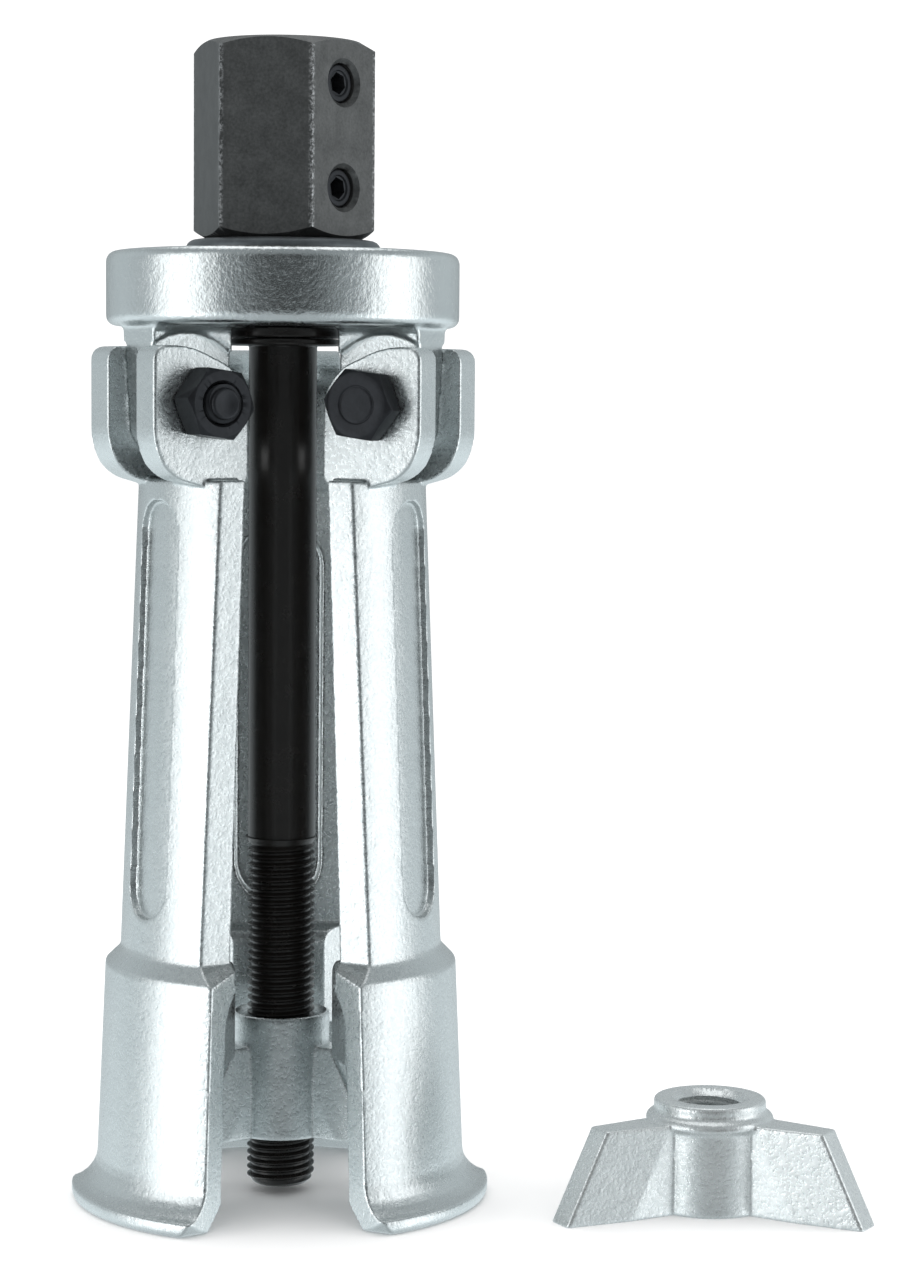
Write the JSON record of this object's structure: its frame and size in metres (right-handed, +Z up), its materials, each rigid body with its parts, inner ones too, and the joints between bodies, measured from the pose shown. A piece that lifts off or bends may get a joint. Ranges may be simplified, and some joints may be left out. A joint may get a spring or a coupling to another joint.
{
  "type": "gear puller",
  "caption": "Three-arm expanding extractor: hinged arms with outward feet on a ring head, screw spindle with hex drive block, winged nut that spreads the arms, loose larger nut.",
  "frame": {"origin": "middle of the bottom of the whole set's box, on the surface it stands on, between the tool and the loose nut", "axes": "+Z up along the spindle; -Y is the front, where the gap between two arms faces the viewer; +X to the right, towards the loose nut"},
  "size_m": [0.2084, 0.1078, 0.3049],
  "materials": {
    "zinc_plated_forging": "zinc-plated drop forging, fine grain, satin bright",
    "black_oxide_steel": "black oxide on machined steel, satin",
    "black_fastener_steel": "blackened fastener steel, semi-matt",
    "gloss_black_spindle": "oiled black spindle, glossy"
  },
  "bodies": {
    "head": {"head": "zinc_plated_forging"},
    "spindle": {"spindle": "gloss_black_spindle", "lower_thrust_washer": "black_oxide_steel", "upper_thrust_washer": "black_oxide_steel", "hex_adapter": "black_oxide_steel", "set_screw_upper": "black_fastener_steel", "set_screw_lower": "black_fastener_steel"},
    "arm_left": {"arm_left": "zinc_plated_forging", "pivot_bolt_left": "black_fastener_steel", "pivot_nut_left": "black_fastener_steel"},
    "arm_right": {"arm_right": "zinc_plated_forging", "pivot_bolt_right": "black_fastener_steel", "pivot_nut_right": "black_fastener_steel"},
    "arm_rear": {"arm_rear": "zinc_plated_forging", "pivot_bolt_rear": "black_fastener_steel", "pivot_nut_rear": "black_fastener_steel"},
    "spreader": {"spreader_nut": "zinc_plated_forging"},
    "spare": {"spare_spreader_nut": "zinc_plated_forging"}
  },
  "joints": [
    {"name": "spindle_spin", "type": "hinge", "parent": "head", "child": "spindle", "pos_m": [-0.04846, -0.00183, 0.24], "axis": [0, 0, 1], "range_deg": [-2880, 2160]},
    {"name": "nut_travel", "type": "slide", "parent": "head", "child": "spreader", "axis": [0, 0, 1], "range_m": [-0.0121, 0.0161]},
    {"name": "arm_left_swing", "type": "hinge", "parent": "head", "child": "arm_left", "pos_m": [-0.07739, -0.01853, 0.2109], "axis": [-0.5, 0.866, 0], "range_deg": [-2, 2.6]},
    {"name": "arm_right_swing", "type": "hinge", "parent": "head", "child": "arm_right", "pos_m": [-0.01954, -0.01853, 0.2109], "axis": [-0.5, -0.866, 0], "range_deg": [-2, 2.6]},
    {"name": "arm_rear_swing", "type": "hinge", "parent": "head", "child": "arm_rear", "pos_m": [-0.04846, 0.03157, 0.2109], "axis": [1, 0, 0], "range_deg": [-2, 2.6]},
    {"name": "spare_nut_lift", "type": "slide", "parent": "head", "child": "spare", "axis": [0, 0, 1], "range_m": [0, 0.05]}
  ],
  "couplings": [
    {"joint": "nut_travel", "follows": "spindle_spin", "m_per_rad": -0.0003183},
    {"joint": "arm_left_swing", "follows": "spindle_spin", "ratio": -0.00089},
    {"joint": "arm_right_swing", "follows": "spindle_spin", "ratio": -0.00089},
    {"joint": "arm_rear_swing", "follows": "spindle_spin", "ratio": -0.00089}
  ]
}
